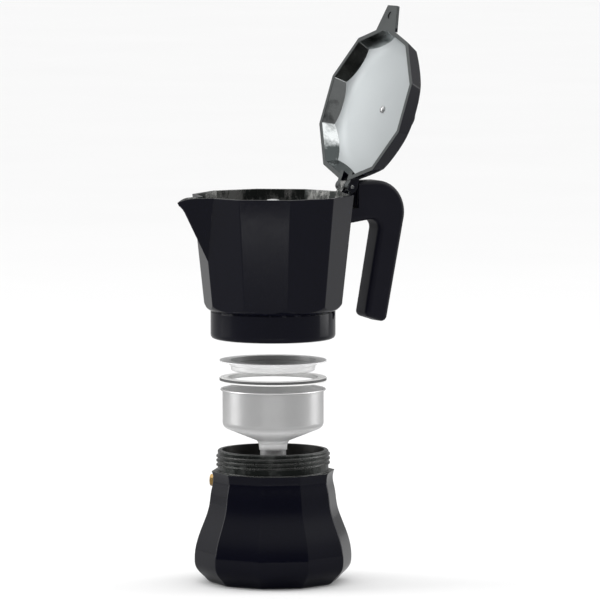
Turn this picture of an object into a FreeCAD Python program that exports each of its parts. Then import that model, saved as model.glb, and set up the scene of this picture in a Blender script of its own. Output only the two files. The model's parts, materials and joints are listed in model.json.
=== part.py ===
import FreeCAD, Part
import math
import os

os.makedirs("parts", exist_ok=True)

V = FreeCAD.Vector
UP = V(0, 0, 1)
ORIGIN = V(0, 0, 0)

# Shared dimensions, in mm and degrees. The origin is the centre of the boiler's
# rest face, +Z is up, the spout points along -X and the handle along +X.
SIDES = 10
STEP = 360.0 / SIDES
APOTHEM = math.cos(math.radians(STEP / 2))
EDGE_R = 1.6            # rounding of the long edges between facets
GAP = 0.3               # daylight left between seated pieces
FIT = 0.05              # radial play of a running fit

# Boiler
BOILER_TURN = 14.0      # its facets against the jug's, while unscrewed
BOILER_WALL = 3.6
BOILER_FLOOR = 3.5
SHOULDER_Z = 75.6
BOILER_CORNERS = [(0, 41.0), (3, 46.0), (7, 50.2), (11.5, 53.1), (16, 53.7), (24, 53.0),
                  (33, 50.5), (43, 46.6), (52, 43.8), (63, 42.2), (SHOULDER_Z, 42.0)]
CAVITY_TOP_Z = 72.2
NECK_TOP_Z = 89.8
NECK_R = 37.5
NECK_BORE_R = 34.6

# Thread between neck and collar: loose, right-handed
PITCH = 3.0
RIDGE_H = 1.0
RIDGE_BASE = 1.7
RIDGE_CREST = 0.8
RIDGE_SINK = 0.4
NECK_THREAD_Z = 78.3
NECK_THREAD_TURNS = 3.25
COLLAR_THREAD_TURNS = 3.0
SCREW_DEG = 1246.0      # jug turned from seated to free, in degrees

# How far each loose piece stands above its seat
FUNNEL_UP = 40.2
GASKET_UP = 4.6
FILTER_UP = PITCH * SCREW_DEG / 360.0
JUG_UP = 33.96
LIFTED = FUNNEL_UP + GASKET_UP + FILTER_UP + JUG_UP

# Safety valve, on a facet of the boiler
VALVE_DEG = 140.0
VALVE_Z = 68.0
VALVE_FACE = 42.1 * APOTHEM
VALVE_LENGTH_IN = 5.3
VALVE_LENGTH_OUT = 2.6
VALVE_HEX = 7.0
VALVE_BORE_R = 1.6
VALVE_ROD_R = 0.6
VALVE_HOLE_R = 2.4
VALVE_TRAVEL = 0.8
VALVE_NUT_GAP = 0.6
SPRING_WIRE_R = 0.18
SPRING_R = 1.1
SPRING_TURNS = 5

# Funnel
RIM_SEAT_Z = NECK_TOP_Z + GAP + FUNNEL_UP
SHEET = 0.9
FUNNEL_R = 34.2
FUNNEL_RIM_R = 35.7
FUNNEL_RIM_T = 1.0
BOWL_H = 25.6
CONE_H = 9.0
CONE_DEG = 21.9        # slope of the cone under the bowl
BOWL_ROUND = 5.0
CONE_END_R = 10.6
STEM_R = 8.8
FUNNEL_H = 83.0
COLLAR_LAP = 7.0

# Gasket and filter plate
GASKET_Z = RIM_SEAT_Z + FUNNEL_RIM_T + GAP + GASKET_UP
GASKET_R = 36.2
GASKET_HOLE_R = 30.1
GASKET_T = 3.0
FILTER_Z = GASKET_Z + GASKET_T + GAP + FILTER_UP
FILTER_T = 0.8
CUP_R = 29.6
CUP_STEP_R = 28.6
CUP_STEP = 3.2
CUP_DEPTH = 7.2
PERF_R = 0.6
PERF_RINGS = 6
PERF_RING_STEP = 4.3

# Jug
COLLAR_Z = SHOULDER_Z + 0.8 + LIFTED
COLLAR_R = 42.2
COLLAR_BORE_R = NECK_R + RIDGE_H + 0.4
COLLAR_H = 18.6
SEAT_Z = FILTER_Z + FILTER_T + GAP + JUG_UP
RECESS_R = 36.9
RECESS_H = 5.4
UNDER_R = 32.5          # hollow under the jug floor
UNDER_H = 1.2
JUG_FLOOR = 3.5
JUG_WALL = 2.6
RIM_Z = COLLAR_Z + 97.0
JUG_RIM_CORNER = 54.9
JUG_LOW_CORNER = 46.4
JUG_LOW_Z = COLLAR_Z + COLLAR_H
JUG_FOOT_R = COLLAR_R - 0.6
JUG_FOOT_ROUND = 10.0
JUG_FOOT_REACH = 47.8

# Spout
SPOUT_TIP_X = 74.9
SPOUT_TIP_DROP = 3.6
SPOUT_END_X = 50.4
SPOUT_DROP = 43.0
SPOUT_ROOT_X = 46.0
SPOUT_ROOT_HALF = 12.0

# Column in the middle of the jug
COLUMN_R = 6.6
COLUMN_TOP_R = 5.6
COLUMN_WALL = 1.3
COLUMN_FLANGE_R = 9.6
COLUMN_TOP_Z = RIM_Z - 3.0
PORT_R = 2.2

# Hinge
PIN_X = 57.4
PIN_Z = RIM_Z + 3.6
PIN_R = 1.25
EYE_R = 4.2
LUG_ROOT_X = 47.0
WEB_X = 60.6
WEB_DROP = 10.8
LUG_HALF = 3.6
TAIL_W = 2.4
TAIL_REACH = 12.4
TAIL_T = 2.7
EAR_IN = LUG_HALF + GAP
EAR_OUT = 8.2
LID_OPEN_DEG = 108.0

# Lid, described closed and then opened
LID_Z = RIM_Z + 0.4
LID_CORNER = 55.6
LID_TOP_CORNER = 48.5
LID_H = 16.5
LID_WALL = 1.8
LID_LEDGE = 3.0
LID_SHOULDER_R = 41.0
LID_CROWN = 2.6
TAB_LENGTH = 14.0
TAB_ROOT = 25.0
TAB_TIP = 12.0
TAB_T = 2.2
TAB_DIMPLE_R = 2.5

# Knob
KNOB_H = 21.0
KNOB_R = 10.0
KNOB_FOOT_R = 6.5
SCREW_R = 1.5
SCREW_HEAD_R = 2.5

# Handle
HANDLE_HALF = 8.5
HANDLE_ROUND = 3.5
TANG_HALF = 3.2
TANG_DROP = 19.0
TANG_H = 6.5
BOSS_X = 54.4
BOSS_DROP = 22.5
HANDLE_PIN_R = 1.6
HANDLE_PIN_X = 68.0
HANDLE_PIN_DROP = 15.75


def polar(radius, deg, z):
    """Return the point at a radius and an angle about the upright axis."""
    turn = math.radians(deg)
    return V(radius * math.cos(turn), radius * math.sin(turn), z)


def save(shape, node):
    """Write one piece."""
    shape.exportStep("parts/" + node + ".step")


def at(x, z):
    """Return a point in the XZ plane."""
    return V(x, 0, z)


def outline(start, *steps):
    """Return a closed wire: a point draws a line, a pair (middle, end) draws an arc."""
    edges = []
    here = start
    for step in steps:
        if isinstance(step, tuple):
            middle, end = step
            edges.append(Part.Arc(here, middle, end).toShape())
        else:
            end = step
            edges.append(Part.makeLine(here, end))
        here = end
    edges.append(Part.makeLine(here, start))
    return Part.Wire(edges)


def closed_path(points):
    """Return the closed outline of straight lines through points."""
    return Part.makePolygon(list(points) + [points[0]])


def spin(wire):
    """Spin an outline in the XZ plane about the upright axis."""
    return Part.Face(wire).revolve(ORIGIN, UP, 360)


def ring(profile):
    """Spin a profile of (radius, height) corners about the upright axis."""
    return spin(closed_path([at(r, z) for r, z in profile]))


def crossbar(radius, x, z, low_y, high_y):
    """Return a round bar along Y."""
    return Part.makeCylinder(radius, high_y - low_y, V(x, low_y, z), V(0, 1, 0))


def tube(outer, inner, low, high):
    """Return a plain ring between two heights."""
    return ring([(inner, low), (outer, low), (outer, high), (inner, high)])


def decagon(corner, z, turn, edge_r):
    """Return a ten-sided wire with rounded corners."""
    cut = edge_r * math.tan(math.radians(STEP / 2))
    corners = [polar(corner, turn + STEP * i, z) for i in range(SIDES)]
    edges = []
    for i in range(SIDES):
        here = corners[i]
        after = corners[(i + 1) % SIDES]
        along = (after - here).normalize()
        start = here + along * cut
        end = after - along * cut
        beyond = (corners[(i + 2) % SIDES] - after).normalize()
        round_end = after + beyond * cut
        centre = polar(corner - edge_r / APOTHEM, turn + STEP * (i + 1), z)
        middle = centre + (after - centre).normalize() * edge_r
        edges.append(Part.makeLine(start, end))
        edges.append(Part.Arc(end, middle, round_end).toShape())
    return Part.Wire(edges)


def ten_sided(sections, turn, edge_r, straight):
    """Loft a ten-sided solid through (height, corner radius) sections."""
    wires = [decagon(corner, z, turn, edge_r) for z, corner in sections]
    return Part.makeLoft(wires, True, straight)


def slab(wire, low_y, high_y):
    """Fill a wire drawn in the XZ plane and give it a width along Y."""
    face = Part.Face(wire)
    face.translate(V(0, low_y, 0))
    return face.extrude(V(0, high_y - low_y, 0))


def ridge(root_r, start_z, turns, outward):
    """Return one helical thread ridge on a wall of radius root_r."""
    side = 1 if outward else -1
    helix = Part.makeHelix(PITCH, PITCH * turns, root_r)
    helix.translate(V(0, 0, start_z))
    foot = root_r - side * RIDGE_SINK
    crest = root_r + side * RIDGE_H
    base = RIDGE_BASE / 2
    tip = RIDGE_CREST / 2
    profile = closed_path([
        V(foot, 0, start_z - base),
        V(crest, 0, start_z - tip),
        V(crest, 0, start_z + tip),
        V(foot, 0, start_z + base),
    ])
    return Part.Wire(helix).makePipeShell([profile], True, True)


def perforation(z, height):
    """Return pins for a round pattern of small holes."""
    pins = [Part.makeCylinder(PERF_R, height, V(0, 0, z))]
    for i in range(1, PERF_RINGS + 1):
        for k in range(6 * i):
            spot = polar(PERF_RING_STEP * i, 360.0 * k / (6 * i), z)
            pins.append(Part.makeCylinder(PERF_R, height, spot))
    return Part.makeCompound(pins)


def make_boiler():
    """Ten-sided lower vessel with a round threaded neck."""
    inside = [(z, r - BOILER_WALL) for z, r in BOILER_CORNERS if 7 <= z <= 63]
    first = (BOILER_FLOOR, inside[0][1] - 3.5)
    last = (CAVITY_TOP_Z, inside[-1][1])
    shell = ten_sided(BOILER_CORNERS, BOILER_TURN, EDGE_R, False)
    cavity = ten_sided([first] + inside + [last], BOILER_TURN, EDGE_R, False)
    neck = ring([(0, CAVITY_TOP_Z), (NECK_R, CAVITY_TOP_Z), (NECK_R, NECK_TOP_Z - 0.6),
                 (NECK_R - 0.6, NECK_TOP_Z), (0, NECK_TOP_Z)])
    body = shell.fuse(neck).cut(cavity)
    body = body.cut(Part.makeCylinder(NECK_BORE_R, NECK_TOP_Z, V(0, 0, CAVITY_TOP_Z - 5)))
    hole = Part.makeCylinder(VALVE_HOLE_R, 20, polar(30, VALVE_DEG, VALVE_Z), polar(1, VALVE_DEG, 0))
    body = body.cut(hole)
    return body.fuse(ridge(NECK_R, NECK_THREAD_Z, NECK_THREAD_TURNS, True))


def valve_place(shape):
    """Turn a piece drawn along +Z so that it points out of the boiler's facet."""
    placed = shape.copy()
    placed.rotate(ORIGIN, V(0, 1, 0), 90)
    placed.rotate(ORIGIN, UP, VALVE_DEG)
    placed.translate(V(0, 0, VALVE_Z))
    return placed


def hexagon(across, low, high):
    """Return a hexagonal bar along +Z."""
    corners = [polar(across / 2 / math.cos(math.radians(30)), 60 * i, low) for i in range(6)]
    return Part.Face(closed_path(corners)).extrude(V(0, 0, high - low))


def make_valve():
    """Write the pieces of the safety valve, drawn along their common axis."""
    washer_from = VALVE_FACE + FIT
    hex_from = washer_from + 0.6
    hex_to = hex_from + VALVE_LENGTH_OUT
    shank_from = VALVE_FACE - VALVE_LENGTH_IN
    seat = shank_from + 1.0
    cap_from = hex_to - 1.3
    corner = VALVE_HEX / 2 / math.cos(math.radians(30))
    dome = ring([
        (0, hex_from), (corner, hex_from), (corner, hex_to - 0.5), (corner - 0.7, hex_to), (0, hex_to),
    ])
    shank = Part.makeCylinder(VALVE_HOLE_R - FIT, hex_from - shank_from, V(0, 0, shank_from))
    body = hexagon(VALVE_HEX, hex_from, hex_to).common(dome).fuse(shank)
    body = body.cut(Part.makeCylinder(VALVE_BORE_R, hex_to - seat + 1, V(0, 0, seat)))
    body = body.cut(Part.makeCylinder(VALVE_BORE_R - 0.7, 2, V(0, 0, seat - 1.5)))
    save(valve_place(body), "valve_body")
    save(valve_place(tube(corner + 0.3, VALVE_HOLE_R, washer_from, hex_from)), "valve_washer")
    wall_inside = VALVE_FACE - BOILER_WALL * APOTHEM
    nut = hexagon(VALVE_HEX - 0.4, shank_from + 0.3, wall_inside - VALVE_NUT_GAP)
    nut = nut.cut(Part.makeCylinder(VALVE_HOLE_R, 20, V(0, 0, shank_from - 5)))
    save(valve_place(nut), "valve_nut")
    save(valve_place(tube(VALVE_BORE_R, VALVE_ROD_R + 0.1, cap_from, hex_to - 0.3)), "valve_retainer")
    make_valve_piston(seat + GAP, hex_to, cap_from - FIT)


def make_valve_piston(head_from, hex_to, spring_to):
    """Write the piston and the coil that holds it on its seat."""
    head_to = head_from + 1.2
    head_r = VALVE_BORE_R - 0.25
    rod_r = VALVE_ROD_R
    piston = ring([
        (0, head_from), (head_r, head_from), (head_r, head_to), (rod_r, head_to),
        (rod_r, hex_to + 0.3), (rod_r - 0.3, hex_to + 0.6), (0, hex_to + 0.6),
    ])
    save(valve_place(piston), "valve_piston")
    start = head_to + VALVE_TRAVEL + GAP + SPRING_WIRE_R
    pitch = (spring_to - SPRING_WIRE_R - start) / SPRING_TURNS
    coil = Part.makeHelix(pitch, pitch * SPRING_TURNS, SPRING_R)
    coil.translate(V(0, 0, start))
    section = []
    for i in range(6):
        turn = math.radians(60 * i)
        section.append(at(SPRING_R + SPRING_WIRE_R * math.cos(turn), start + SPRING_WIRE_R * math.sin(turn)))
    save(valve_place(Part.Wire(coil).makePipeShell([closed_path(section)], True, True)), "valve_spring")


def bend(radius, deg, z):
    """Return a point on the bowl's rounded bottom edge, at an angle below level."""
    turn = math.radians(deg)
    return at(FUNNEL_R - BOWL_ROUND + radius * math.cos(turn), z - radius * math.sin(turn))


def make_funnel():
    """Write the bowl, its stem and its strainer disc."""
    top = RIM_SEAT_Z + FUNNEL_RIM_T
    wall_end = top - BOWL_H
    cone_end = wall_end - CONE_H
    lap_end = cone_end - COLLAR_LAP
    inner = FUNNEL_R - SHEET
    round_z = wall_end + 3.06
    steep = 90 - CONE_DEG
    inside_round = BOWL_ROUND - SHEET
    bowl = spin(outline(
        at(FUNNEL_R, RIM_SEAT_Z), at(FUNNEL_RIM_R - 0.4, RIM_SEAT_Z), at(FUNNEL_RIM_R, RIM_SEAT_Z + 0.4),
        at(FUNNEL_RIM_R - 0.4, top), at(inner + 0.4, top), at(inner, top - 0.5), at(inner, round_z),
        (bend(inside_round, steep / 2, round_z), bend(inside_round, steep, round_z)),
        at(CONE_END_R, cone_end + 0.4), at(STEM_R, cone_end - 1.0), at(STEM_R, lap_end),
        at(STEM_R + 0.6, lap_end), at(STEM_R + 0.9, cone_end - 3.0), at(CONE_END_R + 0.5, cone_end - 0.6),
        bend(BOWL_ROUND, steep, round_z), (bend(BOWL_ROUND, steep / 2, round_z), at(FUNNEL_R, round_z)),
    ))
    stem = ring([
        (STEM_R - SHEET, cone_end - 1.0), (STEM_R, cone_end - 1.0),
        (STEM_R, top - FUNNEL_H + 0.4), (STEM_R - 0.3, top - FUNNEL_H), (STEM_R - SHEET, top - FUNNEL_H),
    ])
    disc_z = round_z + 0.1
    disc = Part.makeCylinder(inner - FIT, SHEET, V(0, 0, disc_z))
    disc = disc.cut(perforation(disc_z - 1, 3))
    save(bowl, "funnel_bowl")
    save(stem, "funnel_stem")
    save(disc, "funnel_strainer")


def make_gasket():
    """Flat soft ring with rounded edges."""
    body = tube(GASKET_R, GASKET_HOLE_R, GASKET_Z, GASKET_Z + GASKET_T)
    return body.makeFillet(0.6, body.Edges)


def make_filter_plate():
    """Flat flange with a stepped, perforated cup below it."""
    top = FILTER_Z + FILTER_T
    low = top - CUP_DEPTH
    step = top - CUP_STEP
    t = FILTER_T
    plate = ring([
        (0, low), (CUP_STEP_R - 1.6, low), (CUP_STEP_R - 0.45, low + 0.5), (CUP_STEP_R, low + 1.6),
        (CUP_STEP_R, step - 0.4), (CUP_R, step), (CUP_R, FILTER_Z), (GASKET_R, FILTER_Z),
        (GASKET_R, top), (CUP_R - t, top), (CUP_R - t, step + 0.4), (CUP_STEP_R - t, step),
        (CUP_STEP_R - t, low + 1.7), (CUP_STEP_R - 1.9, low + t), (0, low + t),
    ])
    return plate.cut(perforation(low - 1, 3))


def make_column():
    """Upright pipe in the jug, closed on top and open at two sides."""
    flange_top = SEAT_Z + UNDER_H - GAP
    port_z = COLUMN_TOP_Z - 5.0
    taper_z = SEAT_Z + JUG_FLOOR + 8
    low_bore = COLUMN_R - COLUMN_WALL
    high_bore = COLUMN_TOP_R - COLUMN_WALL
    pipe = ring([
        (low_bore, flange_top - 1.0), (COLUMN_FLANGE_R, flange_top - 1.0), (COLUMN_FLANGE_R, flange_top),
        (COLUMN_R, flange_top), (COLUMN_R, taper_z), (COLUMN_TOP_R, port_z - 5),
        (COLUMN_TOP_R, COLUMN_TOP_Z - 2.2), (COLUMN_TOP_R - 1.6, COLUMN_TOP_Z - 0.4), (2.0, COLUMN_TOP_Z),
        (0, COLUMN_TOP_Z), (0, COLUMN_TOP_Z - COLUMN_WALL), (high_bore - 0.6, COLUMN_TOP_Z - 2.2),
        (high_bore, COLUMN_TOP_Z - 3.2), (high_bore, port_z - 5), (low_bore, taper_z),
    ])
    return pipe.cut(crossbar(PORT_R, 0, port_z, -15, 15))


def jug_corner(z):
    """Corner radius of the jug's tapering wall at a height."""
    share = (z - JUG_LOW_Z) / (RIM_Z - JUG_LOW_Z)
    return JUG_LOW_CORNER + share * (JUG_RIM_CORNER - JUG_LOW_CORNER)


def spout_wedge(tip_x, tip_z, end_x, end_z, half):
    """Return a pointed wedge with flat sides, wide at the jug's wall."""
    a = V(-SPOUT_ROOT_X, -half, tip_z)
    b = V(-SPOUT_ROOT_X, half, tip_z)
    t = V(-tip_x, 0, tip_z)
    e = V(-end_x, 0, end_z)
    f = V(-SPOUT_ROOT_X + 6, 0, end_z)
    faces = [[a, b, t], [a, t, e], [b, e, t], [a, e, f], [b, f, e], [a, f, b]]
    return Part.Solid(Part.Shell([Part.Face(closed_path(face)) for face in faces]))


def make_spout():
    """Beak with flat sides and a lip curling down at its tip."""
    low_z = RIM_Z - SPOUT_DROP
    wedge = spout_wedge(SPOUT_TIP_X + 1.0, RIM_Z + 1.0, SPOUT_END_X, low_z, SPOUT_ROOT_HALF + 0.6)
    lip_mid = at(-SPOUT_TIP_X + 5.5, RIM_Z - 1.1)
    tip = at(-SPOUT_TIP_X, RIM_Z - SPOUT_TIP_DROP)
    under_mid = at(-SPOUT_TIP_X + 4.6, RIM_Z - 6.6)
    under_end = at(-SPOUT_TIP_X + 8.2, RIM_Z - 11.6)
    side = outline(
        at(-SPOUT_ROOT_X + 8, RIM_Z), at(-SPOUT_TIP_X + 12, RIM_Z), (lip_mid, tip), (under_mid, under_end),
        at(-SPOUT_END_X, low_z), at(-SPOUT_ROOT_X + 8, low_z),
    )
    return wedge.common(slab(side, -20, 20))


def make_hinge_lug():
    """Cast boss, hinge eye and tang that carry the lid and the handle."""
    z = RIM_Z
    boss = slab(closed_path([
        at(LUG_ROOT_X, z - BOSS_DROP), at(50.5, z - BOSS_DROP), at(BOSS_X, z - BOSS_DROP + 3),
        at(BOSS_X, z - 1.6), at(51.5, z - GAP), at(LUG_ROOT_X, z - GAP),
    ]), -EAR_OUT + 1.2, EAR_OUT - 1.2)
    web = slab(outline(
        at(LUG_ROOT_X, z - WEB_DROP), at(WEB_X, z - WEB_DROP), at(PIN_X + EYE_R, PIN_Z),
        (at(PIN_X, PIN_Z + EYE_R), at(PIN_X - EYE_R, PIN_Z)),
        at(52.0, z + 1.0), at(50.5, z - GAP), at(LUG_ROOT_X, z - GAP),
    ), -LUG_HALF, LUG_HALF)
    tang = Part.makeBox(25, 2 * TANG_HALF, TANG_H, V(50, -TANG_HALF, z - TANG_DROP))
    return boss.fuse([web, tang])


def jug_outside():
    """Tapering facets whose foot is rounded in to the collar."""
    low = JUG_LOW_Z - 1.0
    facets = ten_sided([(low, jug_corner(low)), (RIM_Z, JUG_RIM_CORNER)], 0, EDGE_R, True)
    big = JUG_RIM_CORNER + 5
    round_x = JUG_FOOT_REACH - JUG_FOOT_ROUND
    round_z = JUG_LOW_Z + math.sqrt(JUG_FOOT_ROUND ** 2 - (JUG_FOOT_R - round_x) ** 2)
    diagonal = JUG_FOOT_ROUND * math.sqrt(0.5)
    swell = outline(
        at(0, low), at(JUG_FOOT_R, low), at(JUG_FOOT_R, JUG_LOW_Z),
        (at(round_x + diagonal, round_z - diagonal), at(JUG_FOOT_REACH, round_z)),
        at(big, JUG_LOW_Z + 50), at(big, RIM_Z), at(0, RIM_Z),
    )
    return facets.common(spin(swell))


def jug_hollow():
    """Everything that is cut out of the jug, as a list."""
    floor_z = SEAT_Z + JUG_FLOOR
    inset = JUG_WALL / APOTHEM
    inside = ten_sided([
        (floor_z, 38.0), (floor_z + 2.2, 41.2), (floor_z + 7, jug_corner(floor_z + 7) - inset),
        (RIM_Z + 1, jug_corner(RIM_Z + 1) - inset),
    ], 0, EDGE_R, True)
    channel = spout_wedge(
        SPOUT_TIP_X - 2.2, RIM_Z + 1.2, SPOUT_END_X - 3.4, RIM_Z - SPOUT_DROP + 7, SPOUT_ROOT_HALF - 1.6,
    )
    collar_bore = ring([
        (0, COLLAR_Z - 1), (COLLAR_BORE_R + 1.0, COLLAR_Z - 1), (COLLAR_BORE_R, COLLAR_Z + 1.0),
        (COLLAR_BORE_R, SEAT_Z - RECESS_H), (RECESS_R, SEAT_Z - RECESS_H), (RECESS_R, SEAT_Z),
        (UNDER_R, SEAT_Z), (UNDER_R, SEAT_Z + UNDER_H), (0, SEAT_Z + UNDER_H),
    ])
    column_hole = Part.makeCylinder(COLUMN_R + FIT, 20, V(0, 0, SEAT_Z - 5))
    hinge_hole = crossbar(PIN_R + FIT, PIN_X, PIN_Z, -20, 20)
    handle_hole = crossbar(HANDLE_PIN_R, HANDLE_PIN_X, RIM_Z - HANDLE_PIN_DROP, -20, 20)
    return [inside, channel, collar_bore, column_hole, hinge_hole, handle_hole]


def make_jug():
    """Ten-sided upper vessel: collar, floor, tapering wall, spout and hinge lug."""
    collar = ring([
        (0, COLLAR_Z), (COLLAR_R - 2.4, COLLAR_Z), (COLLAR_R - 0.9, COLLAR_Z + 0.6),
        (COLLAR_R - 0.2, COLLAR_Z + 1.7), (COLLAR_R, COLLAR_Z + 3.0),
        (COLLAR_R, JUG_LOW_Z - 0.6), (JUG_FOOT_R, JUG_LOW_Z), (0, JUG_LOW_Z),
    ])
    body = jug_outside().fuse([collar, make_spout(), make_hinge_lug()])
    for hollow in jug_hollow():
        body = body.cut(hollow)
    straight_lift = LIFTED - FILTER_UP
    between_ridges = NECK_THREAD_Z + PITCH * (round(FILTER_UP / PITCH) + 0.5)
    return body.fuse(ridge(COLLAR_BORE_R, straight_lift + between_ridges, COLLAR_THREAD_TURNS, False))


def round_corner(body, point, radius):
    """Round the edge along Y that passes through a point."""
    here = Part.Vertex(point)
    edges = [e for e in body.Edges if e.BoundBox.YLength > 1 and e.distToShape(here)[0] < 0.01]
    return body.makeFillet(radius, edges)


def make_handle():
    """Write the moulded handle and the pin that holds it on the tang."""
    z = RIM_Z
    root = BOSS_X + 0.2
    step_x = 62.2
    step_z = z - WEB_DROP - 0.4
    rounded = [
        (at(104.3, z + 6.9), 22.0), (at(84.8, z - 90.2), 4.0),
        (at(68.0, z - 84.8), 3.8), (at(80.2, z - 18.2), 6.0),
    ]
    square = [at(root, z - 21.6), at(root, step_z), at(step_x, step_z), at(step_x, z + 7.3)]
    body = slab(closed_path([point for point, _ in rounded] + square), -HANDLE_HALF, HANDLE_HALF)
    for point, radius in rounded:
        body = round_corner(body, point, radius)
    sides = [e for e in body.Edges if e.BoundBox.YLength < 0.01 and e.BoundBox.XMax > step_x + 0.5]
    body = body.makeFillet(HANDLE_ROUND, sides)
    below_tails = Part.makeBox(40, 40, 30, V(40, -20, step_z - 30))
    for low_y in (EAR_IN - GAP, -EAR_IN - TAIL_W - GAP):
        swept = crossbar(TAIL_REACH + 2 * GAP, PIN_X, PIN_Z, low_y, low_y + TAIL_W + 2 * GAP)
        body = body.cut(swept.cut(below_tails))
    pocket_half = TANG_HALF + FIT
    pocket = Part.makeBox(25.4, 2 * pocket_half, TANG_H + 0.2, V(50, -pocket_half, z - TANG_DROP - 0.1))
    pin_z = z - HANDLE_PIN_DROP
    body = body.cut([pocket, crossbar(HANDLE_PIN_R, HANDLE_PIN_X, pin_z, -5.5, HANDLE_HALF)])
    save(body, "handle")
    save(crossbar(HANDLE_PIN_R, HANDLE_PIN_X, pin_z, -5.3, HANDLE_HALF - 0.2), "handle_pin")


def make_hinge_pin():
    """Hollow-ended pin through the lid's ears and the jug's eye."""
    half = EAR_OUT - 0.6
    pin = crossbar(PIN_R, PIN_X, PIN_Z, -half, half)
    dimple = crossbar(0.7, PIN_X, PIN_Z, -half - 1, half + 1)
    core = crossbar(PIN_R, PIN_X, PIN_Z, -half + 1.5, half - 1.5)
    return pin.cut(dimple).fuse(core)


def open_up(shape):
    """Swing a piece drawn on the closed lid to the lid's open place."""
    swung = shape.copy()
    swung.rotate(at(PIN_X, PIN_Z), V(0, 1, 0), LID_OPEN_DEG)
    return swung


def lid_blank(grow, z, height):
    """Return the lid's shape: steep facets under a shallow round crown."""
    corner = LID_CORNER - grow
    top = z + height
    facets = ten_sided([(z, corner), (top, LID_TOP_CORNER - grow)], 0, EDGE_R, True)
    shoulder = at(LID_SHOULDER_R - grow, top - LID_CROWN)
    crown = outline(
        at(0, z), at(corner + 2, z), at(corner + 2, top - 12.5), (at(corner - 4, top - 6.6), shoulder),
        (at(shoulder.x / 2, top - LID_CROWN / 4), at(0, top)),
    )
    return facets.common(spin(crown))


def lid_ear(side):
    """Return one hinge ear with its stop tail; side is +1 or -1."""
    low = EAR_IN if side > 0 else -EAR_OUT
    high = low + EAR_OUT - EAR_IN
    eye = crossbar(EYE_R - 0.2, PIN_X, PIN_Z, low, high)
    arm = slab(closed_path([
        at(47.5, LID_Z + 0.2), at(PIN_X - 1, LID_Z + 0.2), at(PIN_X + 1, PIN_Z + EYE_R - 0.4),
        at(50.0, LID_Z + 6.6),
    ]), low, high)
    tail_y = EAR_IN if side > 0 else -EAR_IN - TAIL_W
    tail = Part.makeBox(TAIL_T, TAIL_W, TAIL_REACH, V(PIN_X - TAIL_T / 2, tail_y, PIN_Z - TAIL_REACH))
    tail.rotate(at(PIN_X, PIN_Z), V(0, 1, 0), -LID_OPEN_DEG)
    return eye.fuse([arm, tail])


def make_lid():
    """Lid with faceted skirt, crown, spout tab and forked hinge neck."""
    shell = lid_blank(0, LID_Z, LID_H)
    hollow = lid_blank(LID_LEDGE, LID_Z - 0.01, LID_H - LID_WALL)
    body = shell.cut(hollow)
    reach = LID_CORNER - 4
    tip_x = LID_CORNER + TAB_LENGTH
    tab_face = Part.Face(closed_path([
        V(-reach, -TAB_ROOT / 2, LID_Z), V(-tip_x, -TAB_TIP / 2, LID_Z),
        V(-tip_x, TAB_TIP / 2, LID_Z), V(-reach, TAB_ROOT / 2, LID_Z),
    ]))
    tab = tab_face.extrude(V(0, 0, TAB_T))
    dimple = Part.makeCylinder(TAB_DIMPLE_R, 0.7, V(-LID_CORNER - TAB_LENGTH / 2, 0, LID_Z - 0.01))
    body = body.fuse([tab, lid_ear(1), lid_ear(-1)]).cut(dimple)
    fork_gap = Part.makeBox(30, 2 * EAR_IN, 12, V(46.5, -EAR_IN, LID_Z - 3))
    body = body.cut(fork_gap)
    body = body.cut(crossbar(PIN_R + 0.02, PIN_X, PIN_Z, -20, 20))
    body = body.cut(Part.makeCylinder(SCREW_R + 0.1, 40, V(0, 0, LID_Z)))
    return open_up(body)


def make_knob():
    """Write the knob on the lid, its washer and its screw."""
    top = LID_Z + LID_H
    foot = top + 0.8
    screw_end = foot + 10.5
    knob = outline(
        at(SCREW_R, foot), at(KNOB_FOOT_R, foot),
        (at(KNOB_FOOT_R - 0.4, foot + 5), at(KNOB_R - 0.5, foot + 12)),
        (at(KNOB_R, foot + 15.5), at(KNOB_R - 1.6, foot + 18.5)),
        (at(5.4, foot + 20.3), at(1.0, foot + KNOB_H)),
        at(0, foot + KNOB_H), at(0, screw_end + 0.5), at(SCREW_R, screw_end + 0.5),
    )
    save(open_up(spin(knob)), "knob")
    washer = tube(KNOB_FOOT_R + 1.0, SCREW_R + 0.1, top - 0.45, foot)
    washer = washer.cut(lid_blank(0, LID_Z, LID_H))
    save(open_up(washer), "knob_washer")
    under = top - LID_WALL - 0.02
    screw = ring([
        (0, under - 1.8), (1.4, under - 1.6), (SCREW_HEAD_R - 0.1, under - 0.9), (SCREW_HEAD_R, under),
        (SCREW_R, under), (SCREW_R, screw_end), (0, screw_end),
    ])
    slot = Part.makeBox(8, 0.7, 0.8, V(-4, -0.35, under - 2.0))
    save(open_up(screw.cut(slot)), "knob_screw")


def make_all():
    """Write every piece."""
    save(make_boiler(), "boiler")
    make_valve()
    make_funnel()
    save(make_gasket(), "gasket")
    save(make_filter_plate(), "filter_plate")
    save(make_column(), "column")
    save(make_jug(), "jug")
    make_handle()
    save(make_hinge_pin(), "hinge_pin")
    save(make_lid(), "lid")
    make_knob()


make_all()
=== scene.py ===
import json
import math

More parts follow.
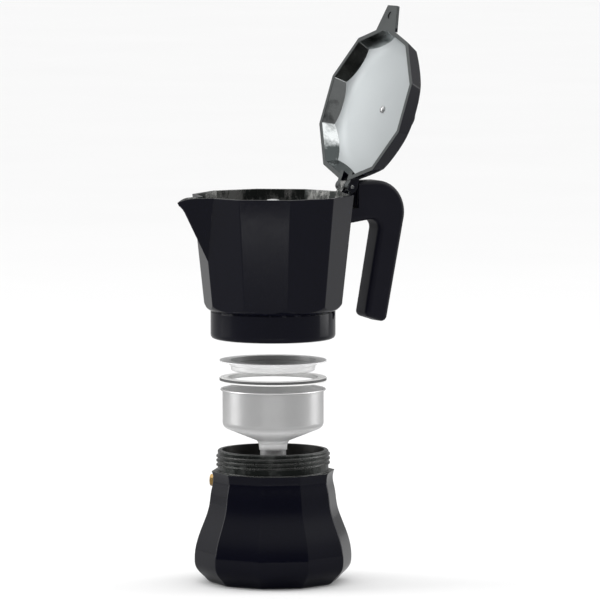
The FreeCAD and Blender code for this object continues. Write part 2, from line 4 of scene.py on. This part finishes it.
import bpy
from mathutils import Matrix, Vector


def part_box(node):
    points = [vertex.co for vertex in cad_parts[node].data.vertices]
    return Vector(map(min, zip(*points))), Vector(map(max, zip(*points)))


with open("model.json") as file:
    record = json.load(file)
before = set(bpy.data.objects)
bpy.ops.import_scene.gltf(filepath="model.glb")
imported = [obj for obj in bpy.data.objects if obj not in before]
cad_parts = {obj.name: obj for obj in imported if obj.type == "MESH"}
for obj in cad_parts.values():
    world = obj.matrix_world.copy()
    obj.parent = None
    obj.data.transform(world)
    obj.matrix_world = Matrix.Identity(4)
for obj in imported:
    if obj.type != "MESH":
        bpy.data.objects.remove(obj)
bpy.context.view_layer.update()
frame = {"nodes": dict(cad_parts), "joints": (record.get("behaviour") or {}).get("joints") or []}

nodes = frame["nodes"]
joints = {joint["name"]: joint for joint in frame["joints"]}

# Viewing angle and framing
AZIMUTH = -30.0
ELEVATION = 5.3
DISTANCE = 4.2
VIEW_WIDTH = 0.405
AIM_RIGHT = 0.0182
AIM_Z = 0.1912

# Surroundings: (place, brightness) from the camera's side round to behind, and from level to overhead
AROUND_STOPS = [(0.0, 0.06), (0.34, 0.09), (0.58, 0.60), (0.80, 0.55), (1.0, 0.24)]
FLOOR_HALF = 40.0       # from the middle of the floor to its edge
FLOOR_SHEEN = 0.42      # how bright the floor is where polished pieces mirror it
OVERHEAD_STOPS = [(0.0, 0.0), (0.25, 0.12), (0.6, 0.75), (1.0, 1.1)]

# The open lid: the way its inside faces, the way from its hinge to its tab, and where the tab starts
OPEN_TURN = math.radians(-joints["lid_hinge"]["range_deg"][0])
LID_IN = Vector((-math.sin(OPEN_TURN), 0, -math.cos(OPEN_TURN)))
LID_UP = Vector((-math.cos(OPEN_TURN), 0, math.sin(OPEN_TURN)))
LID_REACH = 0.0540
LID_RIM_DROP = 0.0032   # the lid's rim below its hinge axis, when closed

# Places on the other pieces, in metres
SHOULDER_DROP = 0.0143  # the boiler's shoulder below the top of its neck
CONE_DROP = 0.0245      # the top of the funnel's cone below its rim
SHADE_BAND_RISE = 0.0011      # how far above the gasket's lower face its dark band of painted shade begins
FLOOR_BAND = 0.02       # how far above the column's foot a level face still counts as the jug's floor
CLEAR_ABOVE = 0.02      # well past the top of the boiler, the gasket or the funnel

# Finishes
CLOUD_LOW = 0.20        # the part of a noise pattern's range that roughness follows
CLOUD_HIGH = 0.85
TURNING_PITCH = 0.0008
PALE_SATIN = (0.415, 0.440, 0.447)
ENAMEL_TINT = (0.0016, 0.0017, 0.0042)
ENAMEL_GLOSS = 0.05
FILM_WIDTH = 36.0       # camera sensor, in mm


# ---------------------------------------------------------------- node helpers

class Graph:
    """A material's node graph with short calls for what the materials share."""

    def __init__(self, name):
        self.material = bpy.data.materials.new(name)
        self.material.use_nodes = True
        self.tree = self.material.node_tree
        self.tree.nodes.clear()
        self.out = self.tree.nodes.new("ShaderNodeOutputMaterial")
        self.coords = self.tree.nodes.new("ShaderNodeTexCoord")

    def node(self, kind, **settings):
        made = self.tree.nodes.new(kind)
        for key, value in settings.items():
            setattr(made, key, value)
        return made

    def link(self, source, target):
        self.tree.links.new(source, target)

    def feed(self, socket, value):
        if isinstance(value, bpy.types.NodeSocket):
            self.link(value, socket)
        elif isinstance(value, (tuple, list)) and len(value) == 3 and len(socket.default_value) == 4:
            socket.default_value = (*value, 1.0)
        else:
            socket.default_value = value

    def math(self, operation, a, b=0.0, clamp=False):
        made = self.node("ShaderNodeMath", operation=operation, use_clamp=clamp)
        self.feed(made.inputs[0], a)
        self.feed(made.inputs[1], b)
        return made.outputs[0]

    def dot(self, a, b):
        made = self.node("ShaderNodeVectorMath", operation="DOT_PRODUCT")
        self.feed(made.inputs[0], a)
        self.feed(made.inputs[1], b)
        return made.outputs["Value"]

    def spread(self, value, low, high, to_low=0.0, to_high=1.0):
        made = self.node("ShaderNodeMapRange", clamp=True)
        self.feed(made.inputs["Value"], value)
        for key, number in (("From Min", low), ("From Max", high), ("To Min", to_low), ("To Max", to_high)):
            made.inputs[key].default_value = number
        return made.outputs["Result"]

    def mix(self, factor, a, b):
        made = self.node("ShaderNodeMix", data_type="RGBA")
        self.feed(made.inputs[0], factor)
        self.feed(made.inputs[6], a)
        self.feed(made.inputs[7], b)
        return made.outputs[2]

    def partly(self, mask, share, under, over):
        """One colour laid over another where the mask is, and at most by the share."""
        return self.mix(self.math("MULTIPLY", mask, share), under, over)

    def opposite(self, mask):
        return self.math("SUBTRACT", 1.0, mask)

    def clouded(self, cloud, low, high):
        """A value that drifts between two limits as a cloud pattern does."""
        return self.spread(cloud, CLOUD_LOW, CLOUD_HIGH, low, high)

    def scaled(self, stretch):
        made = self.node("ShaderNodeMapping")
        made.inputs["Scale"].default_value = stretch
        self.link(self.coords.outputs["Object"], made.inputs["Vector"])
        return made.outputs["Vector"]

    def noise(self, scale, detail=3.0, stretch=(1, 1, 1), rough=0.55):
        made = self.node("ShaderNodeTexNoise")
        self.link(self.scaled(stretch), made.inputs["Vector"])
        made.inputs["Scale"].default_value = scale
        made.inputs["Detail"].default_value = detail
        made.inputs["Roughness"].default_value = rough
        return made.outputs["Fac"]

    def turning_lines(self, pitch):
        """Fine lines round the upright axis, spaced evenly over walls, cones and discs."""
        parts = self.node("ShaderNodeSeparateXYZ")
        self.link(self.coords.outputs["Object"], parts.inputs[0])
        flat = self.node("ShaderNodeCombineXYZ")
        self.link(parts.outputs["X"], flat.inputs["X"])
        self.link(parts.outputs["Y"], flat.inputs["Y"])
        radius = self.node("ShaderNodeVectorMath", operation="LENGTH")
        self.link(flat.outputs[0], radius.inputs[0])
        along = self.math("ADD", radius.outputs["Value"], parts.outputs["Z"])
        wobble = self.math("MULTIPLY", self.noise(25.0, 3.0, (1, 1, 4)), 0.0006)
        phase = self.math("MULTIPLY", self.math("ADD", along, wobble), 2 * math.pi / pitch)
        return self.spread(self.math("SINE", phase), -1.0, 1.0)

    def soft_edge(self, radius):
        """Normals that run round the edges, and how near a point is to one."""
        bevel = self.node("ShaderNodeBevel", samples=6)
        bevel.inputs["Radius"].default_value = radius
        flat = self.node("ShaderNodeNewGeometry").outputs["True Normal"]
        near = self.opposite(self.dot(bevel.outputs["Normal"], flat))
        return bevel.outputs["Normal"], self.spread(near, 0.01, 0.12)

    def bump(self, height, distance, strength=1.0, normal=None):
        made = self.node("ShaderNodeBump")
        made.inputs["Distance"].default_value = distance
        made.inputs["Strength"].default_value = strength
        self.feed(made.inputs["Height"], height)
        if normal is not None:
            self.link(normal, made.inputs["Normal"])
        return made.outputs["Normal"]

    def surface(self, **inputs):
        made = self.node("ShaderNodeBsdfPrincipled")
        for key, value in inputs.items():
            self.feed(made.inputs[key.replace("_", " ")], value)
        return made.outputs["BSDF"]

    def blend(self, factor, a, b):
        made = self.node("ShaderNodeMixShader")
        self.feed(made.inputs[0], factor)
        self.link(a, made.inputs[1])
        self.link(b, made.inputs[2])
        return made.outputs[0]

    def done(self, shader):
        self.link(shader, self.out.inputs["Surface"])
        return self.material


# ---------------------------------------------------------------- materials

def shade(colour, factor):
    """A colour made lighter or darker, and no brighter than white."""
    return tuple(min(1.0, part * factor) for part in colour)


def enamel(g):
    """Gloss black-blue enamel with faint flow marks, dust, and edges lightened partly as wear and partly as
    a painted highlight.
    """
    normal, edge = g.soft_edge(0.0007)
    flow = g.noise(18.0, 4.0, (1, 1, 0.5))
    dust = g.spread(g.noise(900.0, 2.0), 0.66, 0.78)
    wear_and_edge_highlight = g.math("MULTIPLY", edge, g.spread(g.noise(260.0, 5.0), 0.52, 0.70))
    colour = g.mix(flow, ENAMEL_TINT, shade(ENAMEL_TINT, 1.45))
    colour = g.partly(dust, 0.05, colour, (0.05, 0.05, 0.055))
    # Lighter grey in patches along the edges: partly worn enamel, partly a painted highlight.
    colour = g.partly(wear_and_edge_highlight, 0.30, colour, (0.20, 0.20, 0.22))
    rough = g.spread(g.noise(46.0, 5.0), 0.25, 0.8, ENAMEL_GLOSS, ENAMEL_GLOSS + 0.07)
    peel = g.bump(g.noise(190.0, 2.0), 0.00003, 0.35, normal)
    return g.surface(Base_Color=colour, Roughness=rough, IOR=1.36, Specular_IOR_Level=0.28, Normal=peel)


def bare_metal(g, colour, rough, spread, ring_bump, metallic=1.0, radius=0.0003):
    """Aluminium with fine turning rings, cloudy roughness and softened edges."""
    normal, edge = g.soft_edge(radius)
    rings = g.turning_lines(TURNING_PITCH)
    cloud = g.noise(60.0, 5.0)
    tone = g.mix(cloud, shade(colour, 0.90), shade(colour, 1.06))
    # Lighter along the edges: a painted highlight.
    tone = g.partly(edge, 0.25, tone, shade(colour, 1.15))
    grit = g.noise(700.0, 3.0, (1, 1, 0.35))
    height = g.math("ADD", g.math("MULTIPLY", rings, 0.6), grit)
    relief = g.bump(height, ring_bump, 0.6, normal)
    roughness = g.clouded(cloud, rough, rough + spread)
    return g.surface(Base_Color=tone, Metallic=metallic, Roughness=roughness, Normal=relief)


def inward(g):
    """1 where a surface faces the upright axis, 0 where it faces away."""
    flat = g.node("ShaderNodeVectorMath", operation="MULTIPLY")
    g.link(g.coords.outputs["Object"], flat.inputs[0])
    flat.inputs[1].default_value = (1, 1, 0)
    unit = g.node("ShaderNodeVectorMath", operation="NORMALIZE")
    g.link(flat.outputs[0], unit.inputs[0])
    facing = g.dot(unit.outputs[0], g.coords.outputs["Normal"])
    return g.spread(facing, -0.02, -0.12)


def height_band(g, low, high, blur=0.0002):
    """1 between two heights."""
    parts = g.node("ShaderNodeSeparateXYZ")
    g.link(g.coords.outputs["Object"], parts.inputs[0])
    z = parts.outputs["Z"]
    return g.math("MULTIPLY", g.spread(z, low - blur, low), g.spread(z, high + blur, high))


def mottled_metal(g, dark, light, rough, edge_highlight=(0.45, 0.45, 0.44)):
    """Cast aluminium blotched with dark oxide, sharp-edged patches over fine grain, with a painted
    highlight along its edges.
    """
    normal, edge = g.soft_edge(0.0004)
    patches = g.spread(g.noise(70.0, 8.0, (1, 1, 0.45), 0.72), 0.47, 0.56)
    grain = g.noise(800.0, 3.0)
    tone = g.mix(patches, dark, light)
    # Edges lightened towards pale grey: a painted highlight along ridges and rims.
    tone = g.partly(edge, 0.45, tone, edge_highlight)
    roughness = g.clouded(g.noise(60.0, 5.0), rough, rough + 0.18)
    relief = g.bump(g.math("ADD", grain, patches), 0.00006, 0.6, normal)
    return g.surface(Base_Color=tone, Metallic=0.85, Roughness=roughness, Normal=relief)


def jug_material():
    """Enamel outside, oxidised cast metal on the inner walls and floor."""
    g = Graph("jug_enamel")
    floor_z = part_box("column")[0].z
    facing_up = g.spread(g.dot(g.coords.outputs["Normal"], (0, 0, 1)), 0.6, 0.9)
    floor = g.math("MULTIPLY", facing_up, height_band(g, floor_z, floor_z + FLOOR_BAND))
    mask = g.math("MAXIMUM", inward(g), floor)
    outside = enamel(g)
    inside = mottled_metal(g, (0.030, 0.034, 0.032), (0.26, 0.26, 0.25), 0.18)
    return g.done(g.blend(mask, outside, inside))


def boiler_material():
    """Enamel outside, dull metal inside, and dark oxidised metal on the threaded neck."""
    g = Graph("boiler_enamel")
    top_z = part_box("boiler")[1].z
    outside = enamel(g)
    inside = bare_metal(g, (0.07, 0.07, 0.068), 0.30, 0.20, 0.00006)
    neck = mottled_metal(g, (0.010, 0.012, 0.011), (0.045, 0.048, 0.046), 0.22)
    body = g.blend(inward(g), outside, inside)
    band = height_band(g, top_z - SHOULDER_DROP, top_z + CLEAR_ABOVE)
    return g.done(g.blend(g.math("MULTIPLY", band, g.opposite(inward(g))), body, neck))


def satin_pale(g):
    """Pale satin aluminium, nearly even, with faint rubbing marks."""
    normal, edge = g.soft_edge(0.0003)
    cloud = g.noise(40.0, 4.0)
    tone = g.mix(cloud, shade(PALE_SATIN, 0.97), shade(PALE_SATIN, 1.03))
    # Lighter along the edges: a painted highlight.
    tone = g.partly(edge, 0.2, tone, shade(PALE_SATIN, 1.2))
    rub = g.noise(300.0, 4.0, (1, 1, 0.2))
    roughness = g.clouded(cloud, 0.34, 0.44)
    relief = g.bump(rub, 0.00001, 0.4, normal)
    return g.surface(Base_Color=tone, Metallic=0.35, Roughness=roughness, Normal=relief)


def mirror_with_painted_reflections(g):
    """Bright polished aluminium crossed by dark, uneven streaks of painted reflection, with a painted
    highlight along its edges.
    """
    normal, edge = g.soft_edge(0.0003)
    # Dark and bright streaks painted into the colour stand in for reflections.
    painted_reflection_streaks = g.spread(g.noise(26.0, 6.0, (1, 0.45, 1), 0.6), 0.40, 0.52)
    tone = g.mix(painted_reflection_streaks, (0.07, 0.08, 0.08), (0.72, 0.75, 0.75))
    # A bright line along the edges: a painted highlight.
    tone = g.partly(edge, 0.6, tone, (0.90, 0.92, 0.92))
    roughness = g.clouded(g.noise(90.0, 4.0), 0.08, 0.18)
    relief = g.bump(g.noise(45.0, 3.0), 0.0003, 0.5, normal)
    return g.surface(Base_Color=tone, Metallic=1.0, Roughness=roughness, Normal=relief)


def lid_material():
    """Enamel crown, bare cast rim and tab, bright inner walls with painted reflection streaks, and a pale
    satin disc.
    """
    g = Graph("lid_enamel")
    hinge = Vector(joints["lid_hinge"]["pos_m"])
    cast = bare_metal(g, (0.075, 0.080, 0.080), 0.34, 0.14, 0.00005)
    inwardness = g.dot(g.coords.outputs["Normal"], tuple(LID_IN))
    inside = g.blend(g.spread(inwardness, 0.55, 0.80), mirror_with_painted_reflections(g), satin_pale(g))
    depth = g.dot(g.coords.outputs["Object"], tuple(LID_IN))
    rim_depth = hinge.dot(LID_IN) + LID_RIM_DROP
    on_rim = g.spread(depth, rim_depth - 0.0004, rim_depth - 0.0002)
    along = g.dot(g.coords.outputs["Object"], tuple(LID_UP))
    tab_from = hinge.dot(LID_UP) + hinge.x + LID_REACH
    on_tab = g.spread(along, tab_from, tab_from + 0.0003)
    skin = g.blend(g.spread(inwardness, 0.02, 0.10), enamel(g), inside)
    return g.done(g.blend(g.math("MAXIMUM", on_rim, on_tab), skin, cast))


def plastic_material(name, colour, rough, radius):
    """Soft-touch moulded plastic with fine grain and lighter edges that are a painted highlight."""
    g = Graph(name)
    normal, edge = g.soft_edge(radius)
    grain = g.noise(1700.0, 2.0)
    cloud = g.noise(34.0, 4.0)
    tone = g.mix(cloud, shade(colour, 0.85), shade(colour, 1.2))
    # Much lighter along the edges: a painted highlight.
    tone = g.partly(edge, 0.18, tone, shade(colour, 2.4))
    relief = g.bump(grain, 0.00004, 0.5, normal)
    roughness = g.clouded(cloud, rough, rough + 0.12)
    return g.done(g.surface(Base_Color=tone, Roughness=roughness, Normal=relief, Specular_IOR_Level=0.16))


def rubber_material(name, colour, rough):
    """Silicone or rubber with a dusty, slightly mottled skin."""
    g = Graph(name)
    normal, edge = g.soft_edge(0.0003)
    cloud = g.noise(120.0, 4.0)
    tone = g.mix(cloud, shade(colour, 0.93), shade(colour, 1.04))
    tone = g.partly(edge, 0.3, tone, shade(colour, 0.6))
    relief = g.bump(g.noise(900.0, 3.0), 0.00005, 0.5, normal)
    roughness = g.clouded(cloud, rough, rough + 0.15)
    return g.done(g.surface(Base_Color=tone, Roughness=roughness, Normal=relief,
                            Subsurface_Weight=0.05, Subsurface_Radius=(0.001, 0.001, 0.001)))


def metal_material(name, colour, rough, spread, ring_bump, radius=0.0003, metallic=1.0):
    """Turned or drawn aluminium, brass or steel as a whole piece's finish."""
    g = Graph(name)
    return g.done(bare_metal(g, colour, rough, spread, ring_bump, metallic, radius))


def gasket_material():
    """White silicone whose outer edge carries a thin dark band of painted shade."""
    g = Graph("white_silicone")
    normal = g.soft_edge(0.0003)[0]
    cloud = g.noise(120.0, 4.0)
    white = g.mix(cloud, (0.74, 0.74, 0.73), (0.84, 0.84, 0.83))
    # Near-black grey for the outer edge's band of painted shade.
    grey = g.mix(cloud, (0.055, 0.055, 0.055), (0.085, 0.085, 0.085))
    outward = g.opposite(inward(g))
    upright = g.spread(g.math("ABSOLUTE", g.dot(g.coords.outputs["Normal"], (0, 0, 1))), 0.75, 0.55)
    band = g.math("MULTIPLY", outward, upright)
    low_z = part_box("gasket")[0].z
    band = g.math("MULTIPLY", band, height_band(g, low_z + SHADE_BAND_RISE, low_z + CLEAR_ABOVE))
    # The outer upright faces take the painted shade.
    tone = g.mix(band, white, grey)
    relief = g.bump(g.noise(900.0, 3.0), 0.00005, 0.5, normal)
    roughness = g.clouded(cloud, 0.42, 0.57)
    return g.done(g.surface(Base_Color=tone, Roughness=roughness, Normal=relief))


def funnel_material():
    """Spun aluminium: brushed metal on the bowl's wall, and a paler satin copy on its cone whose paler
    colour is painted light.
    """
    g = Graph("bowl_aluminium")
    rim_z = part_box("funnel_bowl")[1].z
    wall = bare_metal(g, (0.66, 0.66, 0.66), 0.27, 0.08, 0.000004, 0.88)
    # A paler, less metallic copy of the same aluminium: painted light on the shaded cone and the bowl's
    # inside.
    cone_with_painted_light = bare_metal(g, (0.92, 0.92, 0.92), 0.42, 0.12, 0.00002, 0.10)
    outside = g.opposite(inward(g))
    on_wall = g.math("MULTIPLY", height_band(g, rim_z - CONE_DROP, rim_z + CLEAR_ABOVE, 0.003), outside)
    return g.done(g.blend(on_wall, cone_with_painted_light, wall))


def paint_nodes():
    """Give every carried-over node its finish."""
    stem = metal_material("stem_aluminium", (0.80, 0.80, 0.80), 0.34, 0.12, 0.00001, metallic=0.60)
    plate = metal_material("filter_aluminium", (0.80, 0.80, 0.80), 0.34, 0.14, 0.00002, metallic=0.30)
    polished = metal_material("polished_aluminium", (0.62, 0.63, 0.63), 0.18, 0.12, 0.00002)
    brass = metal_material("valve_brass", (0.52, 0.34, 0.13), 0.26, 0.20, 0.00003, 0.0002)
    steel = metal_material("bright_steel", (0.58, 0.58, 0.58), 0.20, 0.14, 0.00002, 0.0002)
    handle = plastic_material("handle_plastic", (0.0034, 0.0034, 0.0072), 0.36, 0.0006)
    knob = plastic_material("knob_plastic", (0.007, 0.007, 0.010), 0.36, 0.0005)
    finishes = {
        "boiler": boiler_material(),
        "jug": jug_material(),
        "lid": lid_material(),
        "valve_body": brass,
        "valve_nut": brass,
        "valve_piston": brass,
        "valve_retainer": brass,
        "valve_washer": rubber_material("seal_rubber", (0.02, 0.02, 0.02), 0.55),
        "valve_spring": steel,
        "funnel_bowl": funnel_material(),
        "funnel_stem": stem,
        "funnel_strainer": plate,
        "filter_plate": plate,
        "gasket": gasket_material(),
        "column": polished,
        "knob_washer": polished,
        "knob_screw": steel,
        "handle_pin": steel,
        "hinge_pin": steel,
        "handle": handle,
        "knob": knob,
    }
    for name, material in finishes.items():
        for held in nodes[name].material_slots:
            held.material = material


# ---------------------------------------------------------------- stage

def make_floor():
    """Plain pale floor under the part."""
    g = Graph("floor_pale")
    tone = g.mix(g.noise(3.0, 3.0), (0.86, 0.86, 0.86), (0.89, 0.89, 0.89))
    mirrored = g.node("ShaderNodeLightPath").outputs["Is Glossy Ray"]
    tone = g.mix(mirrored, tone, (FLOOR_SHEEN,) * 3)
    material = g.done(g.surface(Base_Color=tone, Roughness=0.9, Specular_IOR_Level=0.0))
    corners = [(x * FLOOR_HALF, y * FLOOR_HALF, 0) for x, y in ((-1, -1), (1, -1), (1, 1), (-1, 1))]
    mesh = bpy.data.meshes.new("floor")
    mesh.from_pydata(corners, [], [(0, 1, 2, 3)])
    floor = bpy.data.objects.new("floor", mesh)
    mesh.materials.append(material)
    bpy.context.collection.objects.link(floor)


def make_world():
    """Soft surroundings: white backdrop, bright above, darker towards the camera's side."""
    world = bpy.data.worlds.new("studio")
    bpy.context.scene.world = world
    world.use_nodes = True
    tree = world.node_tree
    background = tree.nodes["Background"]
    coords = tree.nodes.new("ShaderNodeTexCoord")
    path = tree.nodes.new("ShaderNodeLightPath")

    def dot_with(direction):
        made = tree.nodes.new("ShaderNodeVectorMath")
        made.operation = "DOT_PRODUCT"
        made.inputs[1].default_value = direction
        tree.links.new(coords.outputs["Generated"], made.inputs[0])
        return made.outputs["Value"]

    def ramp(value, stops):
        made = tree.nodes.new("ShaderNodeValToRGB")
        while len(made.color_ramp.elements) < len(stops):
            made.color_ramp.elements.new(0.5)
        for element, (place, grey) in zip(made.color_ramp.elements, stops):
            element.position = place
            element.color = (grey, grey, grey, 1.0)
        tree.links.new(value, made.inputs[0])
        return made.outputs["Color"]

    def combine(kind, factor, a, b):
        made = tree.nodes.new("ShaderNodeMix")
        made.data_type = "RGBA"
        made.blend_type = kind
        for socket, value in ((made.inputs[0], factor), (made.inputs[6], a), (made.inputs[7], b)):
            if isinstance(value, bpy.types.NodeSocket):
                tree.links.new(value, socket)
            else:
                socket.default_value = value
        return made.outputs[2]

    half = tree.nodes.new("ShaderNodeMath")
    half.operation = "MULTIPLY_ADD"
    half.inputs[1].default_value = 0.5
    half.inputs[2].default_value = 0.5
    tree.links.new(dot_with(turned(0, 1, 0)), half.inputs[0])
    around = ramp(half.outputs[0], AROUND_STOPS)
    overhead = ramp(dot_with((0, 0, 1)), OVERHEAD_STOPS)
    surround = combine("ADD", 1.0, around, overhead)
    shown = combine("MIX", path.outputs["Is Camera Ray"], surround, (1.0, 1.0, 1.0, 1.0))
    tree.links.new(shown, background.inputs["Color"])
    background.inputs["Strength"].default_value = 1.0


def area_light(name, place, aim, size, power, tall, mirrored=True):
    """A rectangular light, its width and height in metres, its power in watts."""
    lamp = bpy.data.lights.new(name, "AREA")
    lamp.shape = "RECTANGLE"
    lamp.size = size
    lamp.size_y = tall
    lamp.energy = power
    made = bpy.data.objects.new(name, lamp)
    made.location = place
    made.rotation_euler = (Vector(aim) - Vector(place)).to_track_quat("-Z", "Y").to_euler()
    made.visible_glossy = mirrored
    bpy.context.collection.objects.link(made)


def turned(right, back, up):
    """A place given to the right of, behind and above the part as the camera sees it."""
    turn = math.radians(AZIMUTH)
    x = right * math.cos(turn) - back * math.sin(turn)
    y = right * math.sin(turn) + back * math.cos(turn)
    return (x, y, up)


def make_lights():
    """Two tall side lights and a low front fill that polished pieces don't mirror."""
    aim = (0, 0, 0.18)
    area_light("key_left", turned(-1.6, 0.2, 0.8), aim, 0.9, 13.0, 1.6)
    area_light("fill_right", turned(1.5, 0.55, 0.7), aim, 0.9, 9.0, 1.6)
    area_light("fill_low", turned(0.0, -0.9, 0.05), (0, 0, 0.12), 0.8, 3.5, 0.08, mirrored=False)


def make_camera():
    """A long lens from slightly above the level, turned towards the spout's side."""
    camera = bpy.data.cameras.new("camera")
    camera.lens = FILM_WIDTH * DISTANCE / VIEW_WIDTH
    camera.sensor_width = FILM_WIDTH
    camera.clip_end = 100.0
    made = bpy.data.objects.new("camera", camera)
    aim = Vector(turned(AIM_RIGHT, 0, AIM_Z))
    rise = math.radians(ELEVATION)
    toward = Vector(turned(0, -math.cos(rise), math.sin(rise)))
    made.location = aim + toward * DISTANCE
    made.rotation_euler = (-toward).to_track_quat("-Z", "Y").to_euler()
    bpy.context.collection.objects.link(made)
    bpy.context.scene.camera = made


paint_nodes()
make_floor()
make_world()
make_lights()
make_camera()
bpy.context.scene.view_settings.view_transform = "Standard"
